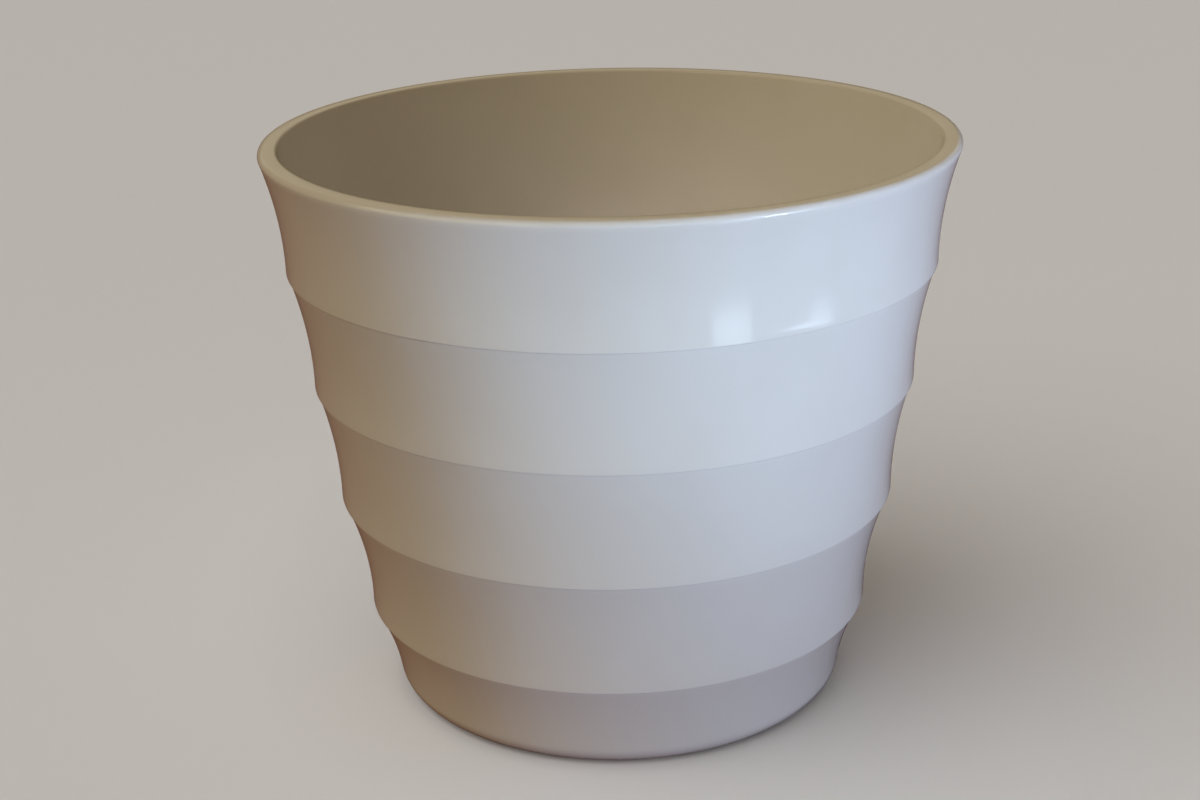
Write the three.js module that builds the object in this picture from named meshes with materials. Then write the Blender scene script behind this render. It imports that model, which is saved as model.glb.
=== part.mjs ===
// A round plant pot moulded in one piece: five flared bands outside, a smooth tapered hollow inside.
// Units are millimetres, +Z is up, and the origin is the centre of the foot, on the ground.
import * as THREE from "three";

// Outside: the whole pot
const HEIGHT = 126;
const RIM_RADIUS = 75;
const FACETS_ROUND = 72;

// Outside: the bands, named from the ground up
const BOTTOM_BAND_HEIGHT = 20.5;
const BAND_HEIGHT = 26.3;
const EDGE_RADII = [56.6, 62.1, 66.4, 70.8];
const EDGE_ROUND = 0.4;

// Outside: the foot
const FOOT_ROUND = 5.1;
const FOOT_RING_OUTER = 46.1;
const FOOT_RING_INNER = 38;
const FOOT_RECESS = 1.5;
const RECESS_BEVEL = 1.5;
const BOTTOM_BAND_LEAN = 8.4;

// Rim: a flat top with rounded corners
const RIM_WIDTH = 4.1;
const RIM_ROUND_OUTER = 1.2;
const RIM_ROUND_INNER = 0.6;

// Inside: the floor, the round corner over it and the tapered wall
const FLOOR_TOP = 5;
const FLOOR_FLAT_RADIUS = 42.5;
const FLOOR_ROUND = 6;
const INNER_WALL_LEAN = 15;

const RIGHT_ANGLE = 90;

const point = (radius, height) => new THREE.Vector2(radius, height);

// Points on a circle about a centre, from one angle to another, in degrees from the outward direction.
function arc(centre, radius, fromAngle, toAngle, steps) {
  const from = THREE.MathUtils.degToRad(fromAngle);
  const to = THREE.MathUtils.degToRad(toAngle);
  const curve = new THREE.EllipseCurve(centre.x, centre.y, radius, radius, from, to, to < from);
  return curve.getPoints(steps);
}

// Points on a wall that leaves its start at a lean from upright and bends evenly to its end.
function flare(start, leanAngle, end, steps) {
  const middle = (start.y + end.y) / 2;
  const reach = (middle - start.y) * Math.tan(THREE.MathUtils.degToRad(leanAngle));
  const curve = new THREE.QuadraticBezierCurve(start, point(start.x + reach, middle), end);
  return curve.getPoints(steps);
}

// The quarter-round under a band's lower edge, from the wall below it out to the edge.
function edgeRound(radius, height) {
  const centre = point(radius - EDGE_ROUND, height + EDGE_ROUND);
  return arc(centre, EDGE_ROUND, -RIGHT_ANGLE, 0, 2);
}

// Underside: a recessed middle inside a flat ring that the pot stands on.
function undersideOutline() {
  return [
    point(0, FOOT_RECESS),
    point(FOOT_RING_INNER - RECESS_BEVEL, FOOT_RECESS),
    point(FOOT_RING_INNER, 0),
    ...arc(point(FOOT_RING_OUTER, FOOT_ROUND), FOOT_ROUND, -RIGHT_ANGLE, -BOTTOM_BAND_LEAN, 5),
  ];
}

// The bottom band rises from the rounded foot to the lowest edge.
function bottomBandOutline(footTop) {
  const top = point(EDGE_RADII[0] - EDGE_ROUND, BOTTOM_BAND_HEIGHT);
  return flare(footTop, BOTTOM_BAND_LEAN, top, 4);
}

// Each upper band rises upright from its own edge and flares to the edge above it, or to the rim.
function upperBandsOutline() {
  return EDGE_RADII.flatMap((radius, index) => {
    const edge = BOTTOM_BAND_HEIGHT + index * BAND_HEIGHT;
    const isTopBand = index === EDGE_RADII.length - 1;
    const top = isTopBand
      ? point(RIM_RADIUS, HEIGHT - RIM_ROUND_OUTER)
      : point(EDGE_RADII[index + 1] - EDGE_ROUND, edge + BAND_HEIGHT);
    return [...edgeRound(radius, edge), ...flare(point(radius, edge + EDGE_ROUND), 0, top, 4)];
  });
}

// The rim turns from the outer wall over its flat top to the inner wall.
function rimOutline() {
  const outer = point(RIM_RADIUS - RIM_ROUND_OUTER, HEIGHT - RIM_ROUND_OUTER);
  const inner = point(RIM_RADIUS - RIM_WIDTH + RIM_ROUND_INNER, HEIGHT - RIM_ROUND_INNER);
  return [
    ...arc(outer, RIM_ROUND_OUTER, 0, RIGHT_ANGLE, 3),
    ...arc(inner, RIM_ROUND_INNER, RIGHT_ANGLE, 2 * RIGHT_ANGLE, 2),
  ];
}

// Inside, from the rim down the wall, round the corner and over the flat floor to the middle.
function insideOutline() {
  const corner = arc(
    point(FLOOR_FLAT_RADIUS, FLOOR_TOP + FLOOR_ROUND), FLOOR_ROUND, -RIGHT_ANGLE, -INNER_WALL_LEAN, 4);
  const wallFoot = corner[corner.length - 1];
  const wallTop = point(RIM_RADIUS - RIM_WIDTH, HEIGHT - RIM_ROUND_INNER);
  const wall = flare(wallFoot, INNER_WALL_LEAN, wallTop, 5);
  return [point(0, FLOOR_TOP), ...corner, ...wall].reverse();
}

// The whole outline in order, with each point kept once.
function potOutline() {
  const underside = undersideOutline();
  const footTop = underside[underside.length - 1];
  const all = [
    ...underside,
    ...bottomBandOutline(footTop),
    ...upperBandsOutline(),
    ...rimOutline(),
    ...insideOutline(),
  ];
  const shortestStep = 0.01;
  return all.filter((current, index) => index === 0 || current.distanceTo(all[index - 1]) > shortestStep);
}

const glossyWhitePlastic = new THREE.MeshStandardMaterial({
  color: 0xe9eaeb,
  roughness: 0.22,
  metalness: 0,
});

// The lathe turns the outline about its own upright axis, which is then stood along +Z.
const potShape = new THREE.LatheGeometry(potOutline(), FACETS_ROUND);
potShape.rotateX(Math.PI / 2);

const pot = new THREE.Mesh(potShape, glossyWhitePlastic);
pot.name = "pot";

const plantPot = new THREE.Group();
plantPot.add(pot);

export default plantPot;
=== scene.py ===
"""Glossy white plant pot with five flared bands outside and a smooth tapered hollow inside.

The pot is one moulded shell: its outline is drawn from the sizes below and turned about the upright axis.
Lengths are in metres, +Z is up, and the origin is the centre of the foot, on the ground.
"""
import math

import bpy
from mathutils import Matrix, Vector


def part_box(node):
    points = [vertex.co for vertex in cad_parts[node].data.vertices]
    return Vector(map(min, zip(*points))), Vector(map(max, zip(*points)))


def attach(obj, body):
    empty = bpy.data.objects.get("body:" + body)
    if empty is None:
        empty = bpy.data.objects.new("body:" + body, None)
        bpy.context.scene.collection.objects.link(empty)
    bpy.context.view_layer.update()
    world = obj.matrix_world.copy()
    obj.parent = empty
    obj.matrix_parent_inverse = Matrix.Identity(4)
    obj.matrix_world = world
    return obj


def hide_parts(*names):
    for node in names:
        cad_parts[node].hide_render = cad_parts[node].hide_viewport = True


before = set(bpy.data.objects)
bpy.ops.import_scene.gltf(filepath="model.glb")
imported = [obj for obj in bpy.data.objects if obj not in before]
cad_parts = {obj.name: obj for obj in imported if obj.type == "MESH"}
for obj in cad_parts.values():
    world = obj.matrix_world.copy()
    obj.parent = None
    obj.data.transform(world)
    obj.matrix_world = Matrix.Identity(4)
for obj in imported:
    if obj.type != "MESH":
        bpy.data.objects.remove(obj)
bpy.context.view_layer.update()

bl_info = {
    "name": "Banded Plant Pot",
    "version": (1, 0, 0),
    "blender": (4, 5, 0),
    "location": "3D View > Sidebar > Plant Pot",
    "description": "Moulds a round plant pot with flared bands and sets a studio around it",
    "category": "Add Mesh",
}

MM = 0.001
MILLIWATT = 0.001
POT_LOW, POT_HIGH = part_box("pot")


# Sizes and colours that a user would change

def length(name, description, default):
    return bpy.props.FloatProperty(
        name=name, description=description, default=default, unit="LENGTH", precision=5, min=0.0
    )


def turn(name, description, degrees):
    return bpy.props.FloatProperty(
        name=name, description=description, default=math.radians(degrees), unit="ROTATION"
    )


def share(name, description, default):
    return bpy.props.FloatProperty(
        name=name, description=description, default=default, subtype="FACTOR", min=0.0, max=1.0
    )


def colour(name, description, default):
    return bpy.props.FloatVectorProperty(
        name=name, description=description, default=default, subtype="COLOR", size=3, min=0.0, max=1.0
    )


def amount(name, description, default):
    return bpy.props.FloatProperty(name=name, description=description, default=default, min=0.0)


class PlantPotSizes(bpy.types.PropertyGroup):
    height: length("Height", "From the ground to the top of the rim", POT_HIGH.z)
    rim_radius: length("Rim Radius", "Widest radius, just under the rim", POT_HIGH.x)
    bottom_band_height: length("Bottom Band", "Height of the lowest edge over the ground", 20.5 * MM)
    band_height: length("Band Height", "From one edge up to the next", 26.3 * MM)
    edge_radii: bpy.props.FloatVectorProperty(
        name="Edge Radii",
        description="Radius of each band's lower edge, from the ground up",
        default=(56.6 * MM, 62.1 * MM, 66.4 * MM, 70.8 * MM),
        size=4,
        unit="LENGTH",
        precision=5,
    )
    ledge: length("Ledge", "How far each edge stands out over the band under it", 0.4 * MM)
    edge_round: length("Edge Round", "Rounding of a band's lower edge", 0.2 * MM)
    foot_round: length("Foot Round", "Rounding between the foot and the bottom band", 5.1 * MM)
    foot_ring_outer: length("Foot Ring Outside", "Outer radius of the flat ring", 46.1 * MM)
    foot_ring_inner: length("Foot Ring Inside", "Inner radius of the flat ring", 38.0 * MM)
    foot_recess: length("Foot Recess", "Depth of the recess inside the ring", 1.5 * MM)
    bottom_band_lean: turn("Bottom Band Lean", "Lean of the bottom band where it leaves the foot", 8.4)
    rim_width: length("Rim Width", "Thickness of the wall at the rim", 4.1 * MM)
    rim_round_outer: length("Outer Rim Round", "Rounding of the rim outside", 1.2 * MM)
    rim_round_inner: length("Inner Rim Round", "Rounding of the rim inside", 0.6 * MM)
    floor_top: length("Floor Top", "Height of the floor inside", 5.0 * MM)
    floor_flat_radius: length("Floor Radius", "Radius of the flat of the floor", 42.5 * MM)
    floor_round: length("Floor Round", "Rounding between the floor and the inner wall", 6.0 * MM)
    inner_wall_lean: turn("Inner Wall Lean", "Lean of the inner wall where it leaves the floor", 15.0)
    gate_radius: length("Gate Radius", "Radius of the moulding mark under the foot", 3.2 * MM)
    gate_depth: length("Gate Depth", "Depth of the moulding mark", 0.5 * MM)
    gate_nub: length("Gate Nub", "Radius of the cut nub in the moulding mark", 0.9 * MM)
    sink_depth: length("Sink Depth", "How far the inner wall has sunk opposite each edge", 0.05 * MM)
    sink_width: length("Sink Width", "Half the height of such a sink", 3.5 * MM)
    waviness: length("Waviness", "How far the wall strays from a true circle", 0.03 * MM)
    sides_round: bpy.props.IntProperty(
        name="Sides Round", description="Flat sides that make up the circle", default=240, min=12, max=512
    )
    seed: bpy.props.IntProperty(name="Seed", description="Draw of the wall's waviness", default=7, min=0)


class PlantPotFinish(bpy.types.PropertyGroup):
    plastic: colour("Plastic", "Colour of the plastic", (0.80, 0.805, 0.81))
    plastic_shade: colour("Plastic Shade", "Colour of the faint darker patches", (0.775, 0.775, 0.77))
    gloss_roughness: share("Polished Roughness", "Roughness where the mould was polished", 0.075)
    haze_roughness: share("Hazy Roughness", "Roughness where handling has dulled the gloss", 0.13)
    rubbed_roughness: share("Rubbed Roughness", "Roughness where the foot has rubbed on tables", 0.5)
    patch_size: length("Patch Size", "Size of the faint patches", 35.0 * MM)
    peel_size: length("Peel Size", "Size of the finest waves in the gloss", 2.6 * MM)
    peel_depth: length("Peel Depth", "Depth of the finest waves in the gloss", 0.0012 * MM)
    refraction: amount("Refraction", "Index of refraction of the plastic", 1.49)


class PlantPotStudio(bpy.types.PropertyGroup):
    focal_length: amount("Focal Length", "Of the camera, in millimetres", 60.33)
    camera_back: length("Camera Back", "Distance in front of the pot's axis", 426.0 * MM)
    camera_height: length("Camera Height", "Height of the camera over the ground", 219.3 * MM)
    camera_down: turn("Camera Down", "How far the camera looks down", 19.94)
    camera_aside: turn("Camera Aside", "How far the camera looks to the right", -0.44)
    camera_roll: turn("Camera Roll", "How far the camera is rolled", -1.27)
    floor_colour: colour("Floor", "Colour of the floor as the camera sees it", (0.80, 0.81, 0.82))
    floor_bounce: colour("Floor Bounce", "Colour of the light off the floor", (0.172, 0.055, 0.025))
    floor_light: amount("Floor Light", "Strength of the light for the floor alone", 1.7)
    backdrop: colour("Backdrop", "Colour behind the far edge of the floor", (0.484, 0.459, 0.418))
    room_colour: colour("Room", "Colour of the light from all round", (1.0, 0.70, 0.37))
    room_strength: amount("Room Strength", "Strength of the light from all round", 0.149)
    lamp_colour: colour("Lamp", "Colour of the warm light at the front left", (1.0, 0.842, 0.54))
    lamp_power: amount("Lamp Power", "Power of the warm light, in watts", 12.4)
    ceiling_colour: colour("Ceiling", "Colour of the soft light overhead", (1.0, 0.75, 0.55))
    ceiling_power: amount("Ceiling Power", "Power of the soft light overhead, in watts", 3.6)
    back_colour: colour("Back", "Colour of the soft light behind the pot", (1.0, 0.97, 0.74))
    back_power: amount("Back Power", "Power of the soft light behind the pot, in watts", 7.6)
    window_colour: colour("Window", "Colour of the far strip at the front right", (0.635, 0.772, 1.0))
    window_power: amount("Window Power", "Power of the far strip, in watts", 0.341)
    sill_colour: colour("Sill", "Colour of the near strip at the front", (0.61, 0.95, 1.0))
    sill_power: amount("Sill Power", "Power of the near strip, in watts", 0.0135)
    rear_colour: colour("Rear", "Colour of the two strips behind the pot", (1.0, 0.99, 0.97))
    rear_power: amount("Rear Power", "Power of each of the two, in watts", 0.14)
    cool_colour: colour("Cool Rear", "Colour of the cool strip between the two", (0.25, 0.65, 1.0))
    cool_power: amount("Cool Rear Power", "Power of the cool strip, in watts", 0.06)
    well_power: amount("Well Power", "Power of the beam on the floor inside, in milliwatts", 4.0)
    foot_power: amount("Foot Power", "Power of the beam under the foot, in milliwatts", 12.0)
    glow_colour: colour("Glow", "Colour of the beam over the front of the rim", (1.0, 0.85, 0.76))
    glow_power: amount("Glow Power", "Power of the beam onto the far inner wall, in milliwatts", 1.7)
    pane_colour: colour("Pane", "Colour of the bright panes that the gloss mirrors", (0.66, 0.84, 1.0))
    pane_power: amount("Pane Power", "Power of a pane whose share is one, in milliwatts", 1.12)


# Outline of the pot: each point is a radius and a height

# Directions in the outline's plane, in degrees from outwards
DOWN = -90.0
OUTWARDS = 0.0
UP = 90.0
INWARDS = 180.0


def arc(centre, radius, start, end, steps):
    """Points on a circle from one direction to another."""
    angles = [math.radians(start + (end - start) * step / steps) for step in range(steps + 1)]
    return [(centre[0] + radius * math.cos(a), centre[1] + radius * math.sin(a)) for a in angles]


def bend(start, control, end, steps):
    """Points on an even curve that leaves its start and reaches its end in line with the control point."""
    shares = [step / steps for step in range(steps + 1)]
    return [
        tuple((1 - s) ** 2 * a + 2 * s * (1 - s) * b + s * s * c for a, b, c in zip(start, control, end))
        for s in shares
    ]


def flare(start, lean, end, steps):
    """Points on a wall that leaves its start at a lean from upright and bends evenly to its end."""
    middle = (start[1] + end[1]) / 2
    control = (start[0] + (middle - start[1]) * math.tan(lean), middle)
    return bend(start, control, end, steps)


def edge_heights(sizes):
    """Height of each band's lower edge, from the ground up."""
    return [sizes.bottom_band_height + index * sizes.band_height for index in range(len(sizes.edge_radii))]


def underside_outline(sizes):
    """The middle of the foot with its moulding mark, the recess, and the ring that the pot stands on."""
    recess = sizes.foot_recess
    mark = recess + sizes.gate_depth
    nub = sizes.gate_nub
    nub_height = 0.35 * MM
    nub_low = mark - nub_height
    wall = sizes.gate_radius
    soft = 0.3 * MM
    gate = [
        (0.0, nub_low),
        *bend((nub - soft, nub_low), (nub, nub_low), (nub, mark - soft / 2), steps=4),
        *bend((nub, mark - soft / 2), (nub, mark), (nub + soft, mark), steps=3),
        *bend((wall - soft, mark), (wall, mark), (wall, recess + soft / 2), steps=3),
        *bend((wall, recess + soft / 2), (wall, recess), (wall + soft, recess), steps=4),
    ]
    ring = sizes.foot_ring_inner
    slope_top = ring - recess
    slope = [
        (slope_top / 2, recess),
        *bend((slope_top - soft, recess), (slope_top, recess), (slope_top + soft, recess - soft), steps=4),
        *bend((ring - soft, soft), (ring, 0.0), (ring + soft, 0.0), steps=4),
    ]
    centre = (sizes.foot_ring_outer, sizes.foot_round)
    corner = arc(centre, sizes.foot_round, DOWN, -math.degrees(sizes.bottom_band_lean), steps=14)
    return gate + slope + corner


def ledge_outline(sizes, radius, height):
    """The small step out from the top of one band to the rounded lower edge of the next."""
    corner = (radius - sizes.ledge, height)
    hollow = sizes.ledge - sizes.edge_round
    centre = (radius - sizes.edge_round, height + sizes.edge_round)
    return [
        *bend((corner[0], height - hollow), corner, (corner[0] + hollow, height), steps=3),
        *arc(centre, sizes.edge_round, DOWN, OUTWARDS, steps=6),
    ]


def bands_outline(sizes, foot_top):
    """The bottom band and the four flared bands over it, up to the rounded rim."""
    edges = list(zip(sizes.edge_radii, edge_heights(sizes)))
    ledges = [ledge_outline(sizes, radius, height) for radius, height in edges]
    tops = [ledge[0] for ledge in ledges]
    tops.append((sizes.rim_radius, sizes.height - sizes.rim_round_outer))
    points = flare(foot_top, sizes.bottom_band_lean, tops[0], steps=18)
    for (radius, height), ledge, top in zip(edges, ledges, tops[1:]):
        points += ledge
        points += flare((radius, height + sizes.edge_round), 0.0, top, steps=22)
    return points


def rim_outline(sizes):
    """The flat top of the wall between its rounded corners."""
    outer_round = sizes.rim_round_outer
    inner_round = sizes.rim_round_inner
    outer = (sizes.rim_radius - outer_round, sizes.height - outer_round)
    inner = (sizes.rim_radius - sizes.rim_width + inner_round, sizes.height - inner_round)
    return arc(outer, outer_round, OUTWARDS, UP, steps=10) + arc(inner, inner_round, UP, INWARDS, steps=6)


def sink(sizes, height):
    """How far the inner wall has sunk outwards at a height, opposite the edges outside."""
    offsets = [(height - edge) / sizes.sink_width for edge in edge_heights(sizes)]
    return sum(sizes.sink_depth * math.exp(-(offset ** 2)) for offset in offsets)


def inside_outline(sizes):
    """From the rim down the inner wall, round the corner and over the flat floor to the middle."""
    centre = (sizes.floor_flat_radius, sizes.floor_top + sizes.floor_round)
    corner = arc(centre, sizes.floor_round, DOWN, -math.degrees(sizes.inner_wall_lean), steps=12)
    wall_top = (sizes.rim_radius - sizes.rim_width, sizes.height - sizes.rim_round_inner)
    wall = flare(corner[-1], sizes.inner_wall_lean, wall_top, steps=90)
    wall = [(radius + sink(sizes, height), height) for radius, height in wall]
    rings = 6
    floor = [(sizes.floor_flat_radius * ring / rings, sizes.floor_top) for ring in range(rings)]
    return (floor + corner + wall)[::-1]


def pot_outline(sizes):
    """The whole outline, from the foot's middle to the floor's middle, with each point kept once."""
    underside = underside_outline(sizes)
    points = underside + bands_outline(sizes, underside[-1]) + rim_outline(sizes) + inside_outline(sizes)
    shortest_step = 0.02 * MM
    kept = [points[0]]
    for point in points[1:]:
        if math.dist(point, kept[-1]) > shortest_step:
            kept.append(point)
    return kept


# Turning the outline into a shell

WAVES_A_METRE = 14.0
MERGE_DISTANCE = 0.01 * MM
SHARP_ANGLE = math.radians(50.0)


def link(tree, *pairs):
    """Joins each pair of an output and a socket."""
    for output, socket in pairs:
        tree.links.new(output, socket)


def feed(tree, socket, value):
    """Gives a socket an output's value, or a plain number."""
    if isinstance(value, bpy.types.NodeSocket):
        link(tree, (value, socket))
    else:
        socket.default_value = value


def add(tree, kind, **settings):
    """A node of a kind, with the settings that it has besides its sockets."""
    node = tree.nodes.new(kind)
    for name, value in settings.items():
        setattr(node, name, value)
    return node


def maths(tree, operation, first, second):
    """A Math node that joins two outputs or numbers."""
    node = add(tree, "ShaderNodeMath", operation=operation)
    feed(tree, node.inputs[0], first)
    feed(tree, node.inputs[1], second)
    return node.outputs[0]


def lathe_tree():
    """Turns an outline about the upright axis: a grid takes its points from the outline, row by row."""
    tree = bpy.data.node_groups.new("Turned Shell", "GeometryNodeTree")
    tree.is_modifier = True
    sockets = (
        ("Outline", "NodeSocketGeometry"),
        ("Sides Round", "NodeSocketInt"),
        ("Waviness", "NodeSocketFloat"),
        ("Wave Scale", "NodeSocketFloat"),
        ("Seed", "NodeSocketInt"),
        ("Merge Distance", "NodeSocketFloat"),
        ("Sharp Angle", "NodeSocketFloat"),
        ("Material", "NodeSocketMaterial"),
    )
    for name, kind in sockets:
        tree.interface.new_socket(name, in_out="INPUT", socket_type=kind)
    tree.interface.new_socket("Shell", in_out="OUTPUT", socket_type="NodeSocketGeometry")
    given = add(tree, "NodeGroupInput").outputs
    result = add(tree, "NodeGroupOutput")

    # One column of the grid for each side round, with a last one that closes on the first
    count = add(tree, "GeometryNodeAttributeDomainSize", component="MESH")
    columns = add(tree, "FunctionNodeIntegerMath", operation="ADD")
    columns.inputs[1].default_value = 1
    grid = add(tree, "GeometryNodeMeshGrid")
    link(
        tree,
        (given["Outline"], count.inputs["Geometry"]),
        (given["Sides Round"], columns.inputs[0]),
        (columns.outputs[0], grid.inputs["Vertices X"]),
        (count.outputs["Point Count"], grid.inputs["Vertices Y"]),
    )

    # Each grid point takes the outline point of its row, turned by the angle of its column
    index = add(tree, "GeometryNodeInputIndex")
    row = add(tree, "FunctionNodeIntegerMath", operation="MODULO")
    column = add(tree, "FunctionNodeIntegerMath", operation="DIVIDE_FLOOR")
    position = add(tree, "GeometryNodeInputPosition")
    sample = add(tree, "GeometryNodeSampleIndex", data_type="FLOAT_VECTOR", domain="POINT")
    spin = add(tree, "ShaderNodeVectorRotate", rotation_type="Z_AXIS")
    link(
        tree,
        (index.outputs[0], row.inputs[0]),
        (count.outputs["Point Count"], row.inputs[1]),
        (index.outputs[0], column.inputs[0]),
        (count.outputs["Point Count"], column.inputs[1]),
        (given["Outline"], sample.inputs["Geometry"]),
        (position.outputs[0], sample.inputs["Value"]),
        (row.outputs[0], sample.inputs["Index"]),
        (sample.outputs[0], spin.inputs["Vector"]),
    )
    share_of_turn = maths(tree, "DIVIDE", column.outputs[0], given["Sides Round"])
    turned = add(tree, "GeometryNodeSetPosition")
    link(
        tree,
        (maths(tree, "MULTIPLY", share_of_turn, math.tau), spin.inputs["Angle"]),
        (grid.outputs["Mesh"], turned.inputs["Geometry"]),
        (spin.outputs[0], turned.inputs["Position"]),
    )

    # A moulded wall strays a little from a true circle, outwards and inwards
    noise = add(tree, "ShaderNodeTexNoise", noise_dimensions="4D")
    noise.inputs["Detail"].default_value = 1.0
    noise_middle = 0.5
    centred = maths(tree, "SUBTRACT", noise.outputs["Fac"], noise_middle)
    doubled = maths(tree, "MULTIPLY", centred, 2.0)
    flat = add(tree, "ShaderNodeVectorMath", operation="MULTIPLY")
    flat.inputs[1].default_value = (1.0, 1.0, 0.0)
    outward = add(tree, "ShaderNodeVectorMath", operation="NORMALIZE")
    stray = add(tree, "ShaderNodeVectorMath", operation="SCALE")
    wavy = add(tree, "GeometryNodeSetPosition")
    link(
        tree,
        (position.outputs[0], noise.inputs["Vector"]),
        (given["Seed"], noise.inputs["W"]),
        (given["Wave Scale"], noise.inputs["Scale"]),
        (position.outputs[0], flat.inputs[0]),
        (flat.outputs[0], outward.inputs[0]),
        (outward.outputs[0], stray.inputs[0]),
        (maths(tree, "MULTIPLY", doubled, given["Waviness"]), stray.inputs["Scale"]),
        (turned.outputs[0], wavy.inputs["Geometry"]),
        (stray.outputs[0], wavy.inputs["Offset"]),
    )

    # Close the seam and the two poles, and shade all but the sharp corners smoothly
    merge = add(tree, "GeometryNodeMergeByDistance")
    smooth = add(tree, "GeometryNodeSetShadeSmooth", domain="FACE")
    angle = add(tree, "GeometryNodeInputMeshEdgeAngle")
    sharp = maths(tree, "GREATER_THAN", angle.outputs["Unsigned Angle"], given["Sharp Angle"])
    creases = add(tree, "GeometryNodeSetShadeSmooth", domain="EDGE")
    creases.inputs["Shade Smooth"].default_value = False
    realize = add(tree, "GeometryNodeRealizeInstances")
    dress = add(tree, "GeometryNodeSetMaterial")
    link(
        tree,
        (wavy.outputs[0], merge.inputs["Geometry"]),
        (given["Merge Distance"], merge.inputs["Distance"]),
        (merge.outputs[0], smooth.inputs["Geometry"]),
        (smooth.outputs[0], creases.inputs["Geometry"]),
        (sharp, creases.inputs["Selection"]),
        (creases.outputs[0], realize.inputs["Geometry"]),
        (realize.outputs[0], dress.inputs["Geometry"]),
        (given["Material"], dress.inputs["Material"]),
        (dress.outputs[0], result.inputs["Shell"]),
    )
    return tree


def set_inputs(modifier, values):
    """Sets a Geometry Nodes modifier's inputs by the names of its tree's sockets."""
    sockets = {
        item.name: item.identifier
        for item in modifier.node_group.interface.items_tree
        if item.item_type == "SOCKET" and item.in_out == "INPUT"
    }
    for name, value in values.items():
        modifier[sockets[name]] = value


def show(name, data):
    """An object with this name and data in the scene."""
    shown = bpy.data.objects.new(name, data)
    bpy.context.scene.collection.objects.link(shown)
    return shown


def outline_object(name, points):
    """A line of points in the XZ plane."""
    mesh = bpy.data.meshes.new(name)
    vertices = [(radius, 0.0, height) for radius, height in points]
    edges = [(index, index + 1) for index in range(len(points) - 1)]
    mesh.from_pydata(vertices, edges, [])
    return show(name, mesh)


def turned_piece(name, points, sizes, material):
    """A finished plain mesh of an outline turned about the upright axis."""
    shape = outline_object(name + "_outline", points)
    modifier = shape.modifiers.new("Turned Shell", "NODES")
    modifier.node_group = lathe_tree()
    inputs = {
        "Sides Round": sizes.sides_round,
        "Waviness": sizes.waviness,
        "Wave Scale": WAVES_A_METRE,
        "Seed": sizes.seed,
        "Merge Distance": MERGE_DISTANCE,
        "Sharp Angle": SHARP_ANGLE,
        "Material": material,
    }
    set_inputs(modifier, inputs)
    evaluated = shape.evaluated_get(bpy.context.evaluated_depsgraph_get())
    mesh = bpy.data.meshes.new_from_object(evaluated)
    shape.modifiers.remove(modifier)
    bpy.data.objects.remove(shape)
    mesh.name = name
    # The outline has no material of its own, so the first slot is empty
    mesh.materials.pop(index=0)
    return show(name, mesh)


# Finishes

def group_tree(name, inputs, outputs):
    """An empty shader group with named inputs, each with its default, and named outputs."""
    tree = bpy.data.node_groups.new(name, "ShaderNodeTree")
    for label, kind, default in inputs:
        socket = tree.interface.new_socket(label, in_out="INPUT", socket_type=kind)
        if default is not None:
            socket.default_value = default
    for label, kind in outputs:
        tree.interface.new_socket(label, in_out="OUTPUT", socket_type=kind)
    return tree, add(tree, "NodeGroupInput").outputs, add(tree, "NodeGroupOutput").inputs


def noise_at(tree, vector, scale, detail, roughness=0.5):
    """A noise texture's value at a place, for a scale in repeats a metre."""
    node = add(tree, "ShaderNodeTexNoise")
    node.inputs["Detail"].default_value = detail
    node.inputs["Roughness"].default_value = roughness
    link(tree, (vector, node.inputs["Vector"]))
    feed(tree, node.inputs["Scale"], scale)
    return node.outputs["Fac"]


def between(tree, value, low, high):
    """The value's place from low to high as 0 to 1, with soft ends."""
    node = add(tree, "ShaderNodeMapRange", interpolation_type="SMOOTHSTEP")
    node.inputs["From Min"].default_value = low
    node.inputs["From Max"].default_value = high
    link(tree, (value, node.inputs["Value"]))
    return node.outputs["Result"]


def colour_mix(tree, factor, first, second):
    """A blend of two plain colours; a Mix node's sockets for colours are 6, 7 and output 2."""
    node = add(tree, "ShaderNodeMix", data_type="RGBA")
    node.inputs[6].default_value = (*first, 1.0)
    node.inputs[7].default_value = (*second, 1.0)
    link(tree, (factor, node.inputs["Factor"]))
    return node.outputs[2]


def clouding_group():
    """Faint large patches of tone, and smaller patches of haze, as moulded plastic has."""
    tree, given, result = group_tree(
        "Faint Clouding",
        [("Vector", "NodeSocketVector", None), ("Patch Scale", "NodeSocketFloat", 30.0)],
        [("Cloud", "NodeSocketFloat"), ("Haze", "NodeSocketFloat")],
    )
    haze_finer = 3.7
    wide = noise_at(tree, given["Vector"], given["Patch Scale"], detail=3.0)
    fine_scale = maths(tree, "MULTIPLY", given["Patch Scale"], haze_finer)
    fine = noise_at(tree, given["Vector"], fine_scale, detail=5.0, roughness=0.62)
    link(
        tree,
        (between(tree, wide, low=0.34, high=0.68), result["Cloud"]),
        (between(tree, fine, low=0.42, high=0.70), result["Haze"]),
    )
    return tree


def peel_group():
    """Very shallow waves in a glossy skin: a broad flow and a fine orange peel."""
    tree, given, result = group_tree(
        "Moulded Skin",
        [("Vector", "NodeSocketVector", None), ("Peel Scale", "NodeSocketFloat", 400.0)],
        [("Height", "NodeSocketFloat")],
    )
    flow_coarser = 0.12
    flow_deeper = 3.0
    fine = noise_at(tree, given["Vector"], given["Peel Scale"], detail=2.0)
    broad_scale = maths(tree, "MULTIPLY", given["Peel Scale"], flow_coarser)
    broad = noise_at(tree, given["Vector"], broad_scale, detail=1.0)
    waves = maths(tree, "ADD", fine, maths(tree, "MULTIPLY", broad, flow_deeper))
    link(tree, (waves, result["Height"]))
    return tree


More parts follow.
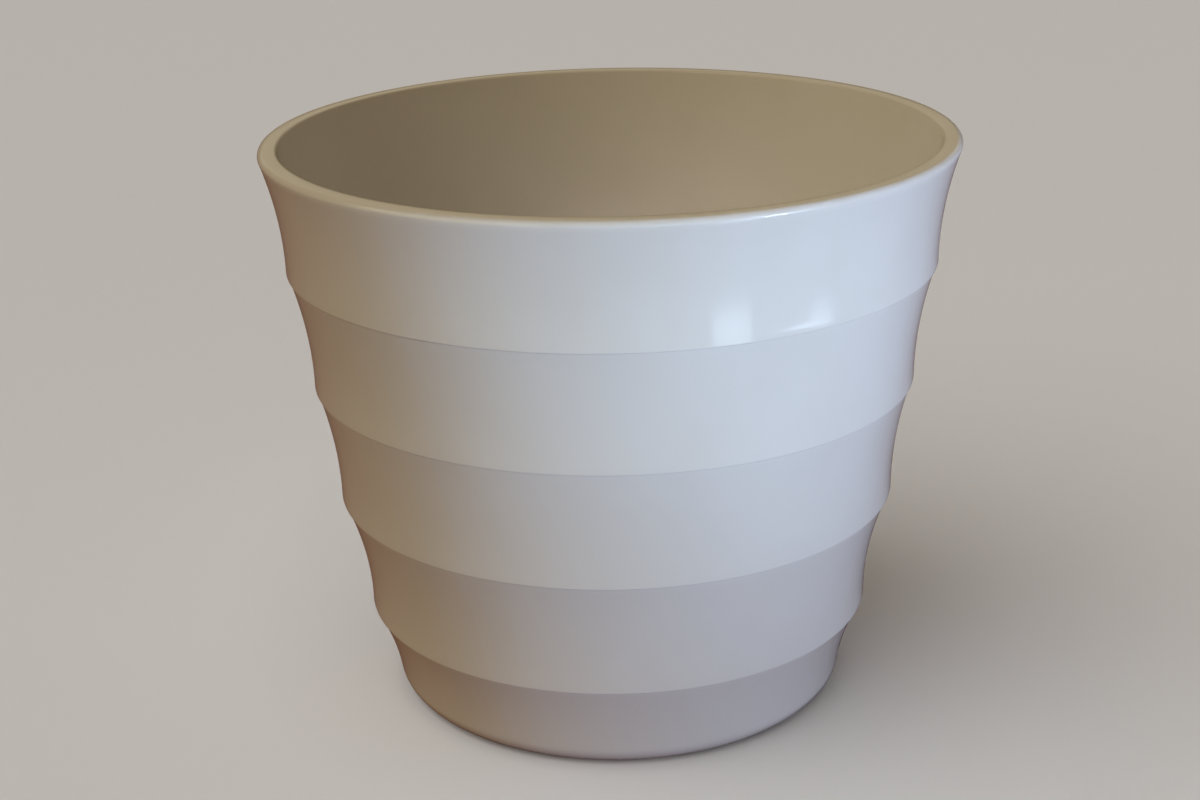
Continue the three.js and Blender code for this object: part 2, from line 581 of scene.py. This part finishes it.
def rub_group():
    """A mask of fine rub marks that is full at the ground and gone a little way up."""
    tree, given, result = group_tree(
        "Foot Rub",
        [("Vector", "NodeSocketVector", None), ("Reach", "NodeSocketFloat", 2.0 * MM)],
        [("Rub", "NodeSocketFloat")],
    )
    marks_a_metre = 900.0
    parts = add(tree, "ShaderNodeSeparateXYZ")
    link(tree, (given["Vector"], parts.inputs[0]))
    low = maths(tree, "SUBTRACT", 1.0, maths(tree, "DIVIDE", parts.outputs["Z"], given["Reach"]))
    marks = noise_at(tree, given["Vector"], marks_a_metre, detail=3.0)
    streaks = between(tree, marks, low=0.35, high=0.6)
    link(tree, (maths(tree, "MULTIPLY", maths(tree, "MAXIMUM", low, 0.0), streaks), result["Rub"]))
    return tree


def plastic_material(finish):
    """White plastic with a polished skin, faint patches of haze and a rubbed foot."""
    material = bpy.data.materials.new("pot_white_plastic")
    material.use_nodes = True
    tree = material.node_tree
    shader = tree.nodes["Principled BSDF"]
    shader.inputs["IOR"].default_value = finish.refraction
    place = add(tree, "ShaderNodeTexCoord").outputs["Object"]

    clouding = add(tree, "ShaderNodeGroup", node_tree=clouding_group())
    clouding.inputs["Patch Scale"].default_value = 1.0 / finish.patch_size
    skin = add(tree, "ShaderNodeGroup", node_tree=peel_group())
    skin.inputs["Peel Scale"].default_value = 1.0 / finish.peel_size
    foot = add(tree, "ShaderNodeGroup", node_tree=rub_group())
    for group in (clouding, skin, foot):
        link(tree, (place, group.inputs["Vector"]))

    tone = colour_mix(tree, clouding.outputs["Cloud"], finish.plastic, finish.plastic_shade)
    gloss = add(tree, "ShaderNodeMapRange")
    gloss.inputs["To Min"].default_value = finish.gloss_roughness
    gloss.inputs["To Max"].default_value = finish.haze_roughness
    rubbed = add(tree, "ShaderNodeMix", data_type="FLOAT")
    rubbed.inputs["B"].default_value = finish.rubbed_roughness
    bump = add(tree, "ShaderNodeBump")
    bump.inputs["Distance"].default_value = finish.peel_depth
    link(
        tree,
        (tone, shader.inputs["Base Color"]),
        (clouding.outputs["Haze"], gloss.inputs["Value"]),
        (foot.outputs["Rub"], rubbed.inputs["Factor"]),
        (gloss.outputs["Result"], rubbed.inputs["A"]),
        (rubbed.outputs[0], shader.inputs["Roughness"]),
        (skin.outputs["Height"], bump.inputs["Height"]),
        (bump.outputs["Normal"], shader.inputs["Normal"]),
    )
    return material


def floor_material(studio):
    """A matt floor that is pale to the camera, throws little light back up, and is clear from below."""
    material = bpy.data.materials.new("pale_floor")
    material.use_nodes = True
    tree = material.node_tree
    shader = tree.nodes["Principled BSDF"]
    shader.inputs["Roughness"].default_value = 0.75
    shader.inputs["Specular IOR Level"].default_value = 0.2
    seen = add(tree, "ShaderNodeLightPath").outputs["Is Camera Ray"]
    clear = add(tree, "ShaderNodeBsdfTransparent")
    side = add(tree, "ShaderNodeNewGeometry")
    mix = add(tree, "ShaderNodeMixShader")
    link(
        tree,
        (colour_mix(tree, seen, studio.floor_bounce, studio.floor_colour), shader.inputs["Base Color"]),
        (side.outputs["Backfacing"], mix.inputs["Fac"]),
        (shader.outputs[0], mix.inputs[1]),
        (clear.outputs[0], mix.inputs[2]),
        (mix.outputs[0], tree.nodes["Material Output"].inputs["Surface"]),
    )
    return material


# Studio

ORIGIN = (0.0, 0.0, 0.0)
FULL_FRAME_WIDTH = 36.0


def pale_floor(studio):
    """A wide flat disc just under the foot."""
    sides = 96
    reach = 6.0
    gap = 0.03 * MM
    angles = [math.tau * side / sides for side in range(sides)]
    rim = [(reach * math.cos(a), reach * math.sin(a), POT_LOW.z - gap) for a in angles]
    mesh = bpy.data.meshes.new("pale_floor")
    mesh.from_pydata(rim, [], [list(range(sides))])
    mesh.materials.append(floor_material(studio))
    floor = show("pale_floor", mesh)
    return floor


def aimed(place, target):
    """The turn that points a light's -Z from a place to a target."""
    return (Vector(target) - Vector(place)).to_track_quat("-Z", "Y").to_euler()


def around(distance, azimuth, height):
    """A place at a distance from the axis; azimuth 0 is in front, and 90 degrees is to the right."""
    a = math.radians(azimuth)
    return (distance * math.sin(a), -distance * math.cos(a), height)


def soft_light(name, place, target, size, power, tint, spread=180.0):
    """A rectangular light that the camera doesn't see; spread is the width of its beam, in degrees."""
    data = bpy.data.lights.new(name, "AREA")
    data.shape = "RECTANGLE"
    data.size, data.size_y = size
    data.energy = power
    data.color = tint
    data.spread = math.radians(spread)
    light = show(name, data)
    light.location = place
    light.rotation_euler = aimed(place, target)
    light.visible_camera = False
    return light


def beam_light(name, place, target, size, power, tint, spread):
    """A narrow soft light, with its power in milliwatts, which the gloss doesn't mirror."""
    light = soft_light(name, place, target, size, power * MILLIWATT, tint, spread)
    light.visible_glossy = False
    return light


def light_only(piece, lights):
    """Lets some lights fall on one piece alone, and returns that piece's collection."""
    lit = bpy.data.collections.new(piece.name + "_lit")
    lit.objects.link(piece)
    for light in lights:
        light.light_linking.receiver_collection = lit
    return lit


def room_light(studio):
    """The even light of a room, with a pale backdrop behind the far edge of the floor."""
    world = bpy.data.worlds.new("room")
    world.use_nodes = True
    tree = world.node_tree
    room = tree.nodes["Background"]
    room.inputs["Color"].default_value = (*studio.room_colour, 1.0)
    room.inputs["Strength"].default_value = studio.room_strength
    backdrop = add(tree, "ShaderNodeBackground")
    backdrop.inputs["Color"].default_value = (*studio.backdrop, 1.0)
    seen = add(tree, "ShaderNodeLightPath").outputs["Is Camera Ray"]
    mix = add(tree, "ShaderNodeMixShader")
    link(
        tree,
        (seen, mix.inputs["Fac"]),
        (room.outputs[0], mix.inputs[1]),
        (backdrop.outputs[0], mix.inputs[2]),
        (mix.outputs[0], tree.nodes["World Output"].inputs["Surface"]),
    )
    bpy.context.scene.world = world


def floor_light(studio, floor):
    """A wide soft sun that keeps the floor pale and even, with a soft shadow under the pot."""
    data = bpy.data.lights.new("floor_light", "SUN")
    data.energy = studio.floor_light
    width_in_sky = 70.0
    data.angle = math.radians(width_in_sky)
    light = show("floor_light", data)
    upper_left = around(1.0, -45.0, 1.6)
    light.rotation_euler = aimed(upper_left, ORIGIN)
    light_only(floor, [light])


def big_lights(studio):
    """Large soft boxes at the front left, overhead and behind."""
    middle = (0.0, 0.0, POT_HIGH.z / 2)
    # Name, place, size, power and colour
    boxes = (
        ("lamp", around(1.7, -60.0, 1.2), (2.2, 1.1), studio.lamp_power, studio.lamp_colour),
        ("ceiling", (0.0, 0.0, 2.2), (2.4, 2.4), studio.ceiling_power, studio.ceiling_colour),
        ("back", around(2.3, 180.0, 1.6), (3.2, 2.2), studio.back_power, studio.back_colour),
    )
    return [soft_light(name, place, middle, size, power, tint) for name, place, size, power, tint in boxes]


def strip_lights(studio):
    """Low strips of light for the outside, which stay below the rim and leave the inside in shade."""
    aim = (0.0, 0.0, 0.11)
    height = 0.10
    depth = 0.04
    sidewards = 90.0
    # Name, distance from the axis, azimuth, width, power, colour and width of the beam in degrees
    strips = (
        ("window", 0.9, 50.0, 0.60, studio.window_power, studio.window_colour, 30.0),
        ("sill", 0.33, 16.0, 0.20, studio.sill_power, studio.sill_colour, 50.0),
        ("rear_right", 0.9, 152.0, 0.60, studio.rear_power, studio.rear_colour, 30.0),
        ("rear_left", 0.9, 208.0, 0.60, studio.rear_power, studio.rear_colour, 30.0),
        ("rear_cool", 0.9, 194.0, 0.60, studio.cool_power, studio.cool_colour, 30.0),
    )
    lights = []
    for name, distance, azimuth, width, power, tint, spread in strips:
        place = around(distance, azimuth, height)
        light = soft_light(name, place, aim, (width, depth), power, tint, spread)
        # The gloss mirrors the strips in front alone
        light.visible_glossy = azimuth < sidewards
        lights.append(light)
    return lights


def pane_lights(studio):
    """Small bright panes near the floor, in front and behind, which the gloss of the top band mirrors."""
    # Each pane's middle, and the point on the pot that it faces
    left = (Vector((0.142, -0.205, 0.026)), Vector((0.022, -0.067, 0.104)))
    right = (Vector((0.254, -0.149, 0.020)), Vector((0.036, -0.061, 0.101)))
    # Name, pane, shift across and up, width and height, all in millimetres, and share of the power
    panes = (
        ("left_pane", left, 0.0, 4.0, 53.0, 28.0, 0.76),
        ("left_pane_fade", left, 0.0, -16.0, 50.0, 12.0, 0.14),
        ("right_pane", right, -2.0, 2.5, 118.0, 14.0, 1.25),
        ("right_pane_fade", right, 38.0, -11.0, 40.0, 13.0, 0.20),
    )
    upright = Vector((0.0, 0.0, 1.0))
    spread = 40.0
    lights = []
    for side, turned in (("front", 0.0), ("rear", 128.0)):
        swing = Matrix.Rotation(math.radians(turned), 3, "Z")
        for name, (centre, faced), across, up, width, height, portion in panes:
            facing = (faced - centre).normalized()
            sideways = facing.cross(upright).normalized()
            place = swing @ (centre + (sideways * across + sideways.cross(facing) * up) * MM)
            target = place + swing @ facing
            size = (width * MM, height * MM)
            power = studio.pane_power * portion * MILLIWATT
            label = side + "_" + name
            lights.append(soft_light(label, place, target, size, power, studio.pane_colour, spread))
    return lights


def upright_light(name, height, width, power):
    """A round narrow beam along the axis, from above onto the floor inside or from below onto the foot."""
    tint = (1.0, 0.97, 0.92)
    spread = 3.0
    light = beam_light(name, (0.0, 0.0, height), ORIGIN, (width, width), power, tint, spread)
    light.data.shape = "DISK"
    return light


def glow_light(studio):
    """A soft beam that comes in over the front of the rim and lightens the far inner wall downwards."""
    place = (0.0, -0.16, 0.36)
    target = (0.008, 0.062, 0.060)
    size = (0.05, 0.02)
    spread = 12.0
    return beam_light("glow", place, target, size, studio.glow_power, studio.glow_colour, spread)


def main_camera(studio):
    """A camera in front of the pot, looking down at it."""
    data = bpy.data.cameras.new("camera")
    data.sensor_width = FULL_FRAME_WIDTH
    data.lens = studio.focal_length
    camera = show("camera", data)
    heading = Matrix.Rotation(-studio.camera_aside, 3, "Z")
    tilt = Matrix.Rotation(math.pi / 2 - studio.camera_down, 3, "X")
    roll = Matrix.Rotation(studio.camera_roll, 3, "Z")
    camera.rotation_euler = (heading @ tilt @ roll).to_euler()
    camera.location = (0.0, -studio.camera_back, studio.camera_height)
    bpy.context.scene.camera = camera


# Operators, panel and registration

class PLANTPOT_OT_mould_shell(bpy.types.Operator):
    """Mould the pot's shell and give it its white plastic"""
    bl_idname = "plant_pot.mould_shell"
    bl_label = "Mould Shell"

    def execute(self, context):
        sizes = context.scene.plant_pot_sizes
        finish = context.scene.plant_pot_finish
        points = pot_outline(sizes)
        piece = turned_piece("pot_shell", points, sizes, plastic_material(finish))
        if not piece.data.polygons:
            raise RuntimeError("the outline made no shell")
        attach(piece, "root")
        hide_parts("pot")
        return {"FINISHED"}


class PLANTPOT_OT_set_stage(bpy.types.Operator):
    """Lay the floor, hang the lights and place the camera"""
    bl_idname = "plant_pot.set_stage"
    bl_label = "Set Stage"

    def execute(self, context):
        studio = context.scene.plant_pot_studio
        pot = bpy.data.objects.get("pot_shell")
        if pot is None:
            raise RuntimeError("the pot's shell isn't there yet")
        room_light(studio)
        floor_light(studio, pale_floor(studio))
        foot = upright_light("foot", -300.0 * MM, 88.0 * MM, studio.foot_power)
        pot_lights = big_lights(studio) + strip_lights(studio) + pane_lights(studio)
        well = upright_light("well", 1200.0 * MM, 80.0 * MM, studio.well_power)
        pot_lights += [well, glow_light(studio), foot]
        pot_alone = light_only(pot, pot_lights)
        # The beam from below passes through the floor, because the pot alone can stop it
        foot.light_linking.blocker_collection = pot_alone
        main_camera(studio)
        context.scene.view_settings.view_transform = "Standard"
        return {"FINISHED"}


class PLANTPOT_PT_panel(bpy.types.Panel):
    """Lists the pot's sizes, finish, studio and operators"""
    bl_idname = "PLANTPOT_PT_panel"
    bl_label = "Plant Pot"
    bl_space_type = "VIEW_3D"
    bl_region_type = "UI"
    bl_category = "Plant Pot"

    def draw(self, context):
        for name in GROUPS:
            group = getattr(context.scene, name)
            box = self.layout.box()
            for field in group.bl_rna.properties:
                if field.identifier not in ("rna_type", "name"):
                    box.prop(group, field.identifier)
        for operator in OPERATORS:
            self.layout.operator(operator.bl_idname)


GROUPS = {
    "plant_pot_sizes": PlantPotSizes,
    "plant_pot_finish": PlantPotFinish,
    "plant_pot_studio": PlantPotStudio,
}
OPERATORS = (PLANTPOT_OT_mould_shell, PLANTPOT_OT_set_stage)


def register():
    for name, group in GROUPS.items():
        bpy.utils.register_class(group)
        setattr(bpy.types.Scene, name, bpy.props.PointerProperty(type=group))
    for item in (*OPERATORS, PLANTPOT_PT_panel):
        bpy.utils.register_class(item)


def unregister():
    for item in (PLANTPOT_PT_panel, *OPERATORS):
        bpy.utils.unregister_class(item)
    for name, group in GROUPS.items():
        delattr(bpy.types.Scene, name)
        bpy.utils.unregister_class(group)


def main():
    register()
    bpy.ops.plant_pot.mould_shell()
    bpy.ops.plant_pot.set_stage()


if __name__ == "__main__":
    main()
